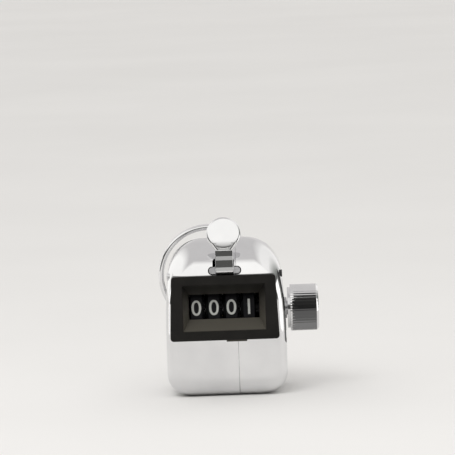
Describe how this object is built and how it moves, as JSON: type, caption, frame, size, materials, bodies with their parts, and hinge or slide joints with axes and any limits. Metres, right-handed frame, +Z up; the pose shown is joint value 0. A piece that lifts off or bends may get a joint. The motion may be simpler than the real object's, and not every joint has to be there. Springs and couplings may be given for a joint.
{
  "type": "tally counter",
  "caption": "Hand-held tally counter: chromed case with a thumb lever, number wheels in a black window, a reset knob and a folding finger ring.",
  "frame": {"origin": "centre of the flat base", "axes": "+Z up to the lever, -Y out of the window, +X to the knob"},
  "size_m": [0.0454, 0.0341, 0.0504],
  "materials": {
    "case_chrome": "polished chrome plate",
    "lever_chrome": "polished chrome plate",
    "knob_chrome": "polished chrome plate",
    "ring_chrome": "polished chrome plate",
    "bezel_black": "smooth black moulding",
    "wheel_black": "black moulding",
    "black_steel": "blackened steel",
    "steel": "bright steel",
    "brass": "turned and stamped brass"
  },
  "bodies": {
    "root": {"left_case": "case_chrome", "right_case": "case_chrome", "window_bezel": "bezel_black", "left_plate": "black_steel", "right_plate": "black_steel", "frame_pillars": "steel", "case_screws": "steel", "shaft_bush": "steel", "pinion_shaft": "steel", "lever_pin": "steel", "lever_spring": "steel", "detent_spring": "steel", "ring_bracket": "ring_chrome", "ring_pin": "steel", "bracket_rivets": "steel"},
    "lever": {"thumb_lever": "lever_chrome", "drive_finger": "steel", "finger_rivet": "steel"},
    "reset": {"main_shaft": "steel", "shaft_clip": "steel", "reset_knob": "knob_chrome", "knob_screw": "steel"},
    "units": {"units_wheel": "wheel_black", "star_wheel": "black_steel"},
    "tens": {"tens_wheel": "wheel_black"},
    "hundreds": {"hundreds_wheel": "wheel_black"},
    "thousands": {"thousands_wheel": "wheel_black"},
    "tens_carry": {"tens_pinion": "brass"},
    "hundreds_carry": {"hundreds_pinion": "brass"},
    "thousands_carry": {"thousands_pinion": "brass"},
    "ring": {"finger_ring": "ring_chrome"}
  },
  "joints": [
    {"name": "lever_press", "type": "hinge", "parent": "root", "child": "lever", "pos_m": [0, -0.009, 0.034], "axis": [-1, 0, 0], "range_deg": [0, 24], "stiffness_Nm_per_rad": 0.02, "springref_deg": -17.19, "deforming": ["lever_spring"]},
    {"name": "reset_turn", "type": "hinge", "parent": "root", "child": "reset", "pos_m": [0, 0, 0.023], "axis": [1, 0, 0], "continuous": true},
    {"name": "units_count", "type": "hinge", "parent": "reset", "child": "units", "pos_m": [0, 0, 0.023], "axis": [1, 0, 0], "range_deg": [0, 36]},
    {"name": "tens_turn", "type": "hinge", "parent": "root", "child": "tens", "pos_m": [0, 0, 0.023], "axis": [1, 0, 0], "continuous": true},
    {"name": "hundreds_turn", "type": "hinge", "parent": "root", "child": "hundreds", "pos_m": [0, 0, 0.023], "axis": [1, 0, 0], "continuous": true},
    {"name": "thousands_turn", "type": "hinge", "parent": "root", "child": "thousands", "pos_m": [0, 0, 0.023], "axis": [1, 0, 0], "continuous": true},
    {"name": "tens_carry_turn", "type": "hinge", "parent": "root", "child": "tens_carry", "pos_m": [0, 0.00308, 0.01151], "axis": [1, 0, 0], "continuous": true},
    {"name": "hundreds_carry_turn", "type": "hinge", "parent": "root", "child": "hundreds_carry", "pos_m": [0, 0.00308, 0.01151], "axis": [1, 0, 0], "continuous": true},
    {"name": "thousands_carry_turn", "type": "hinge", "parent": "root", "child": "thousands_carry", "pos_m": [0, 0.00308, 0.01151], "axis": [1, 0, 0], "continuous": true},
    {"name": "ring_fold", "type": "hinge", "parent": "root", "child": "ring", "pos_m": [-0.0044, 0.0171, 0.0147], "axis": [-1, 0, 0], "range_deg": [0, 110]}
  ],
  "couplings": [
    {"joint": "units_count", "follows": "lever_press", "ratio": 1.5},
    {"joint": "tens_turn", "follows": "reset_turn", "ratio": 1},
    {"joint": "hundreds_turn", "follows": "reset_turn", "ratio": 1},
    {"joint": "thousands_turn", "follows": "reset_turn", "ratio": 1},
    {"joint": "tens_carry_turn", "follows": "reset_turn", "ratio": -2.5},
    {"joint": "hundreds_carry_turn", "follows": "reset_turn", "ratio": -2.5},
    {"joint": "thousands_carry_turn", "follows": "reset_turn", "ratio": -2.5}
  ]
}
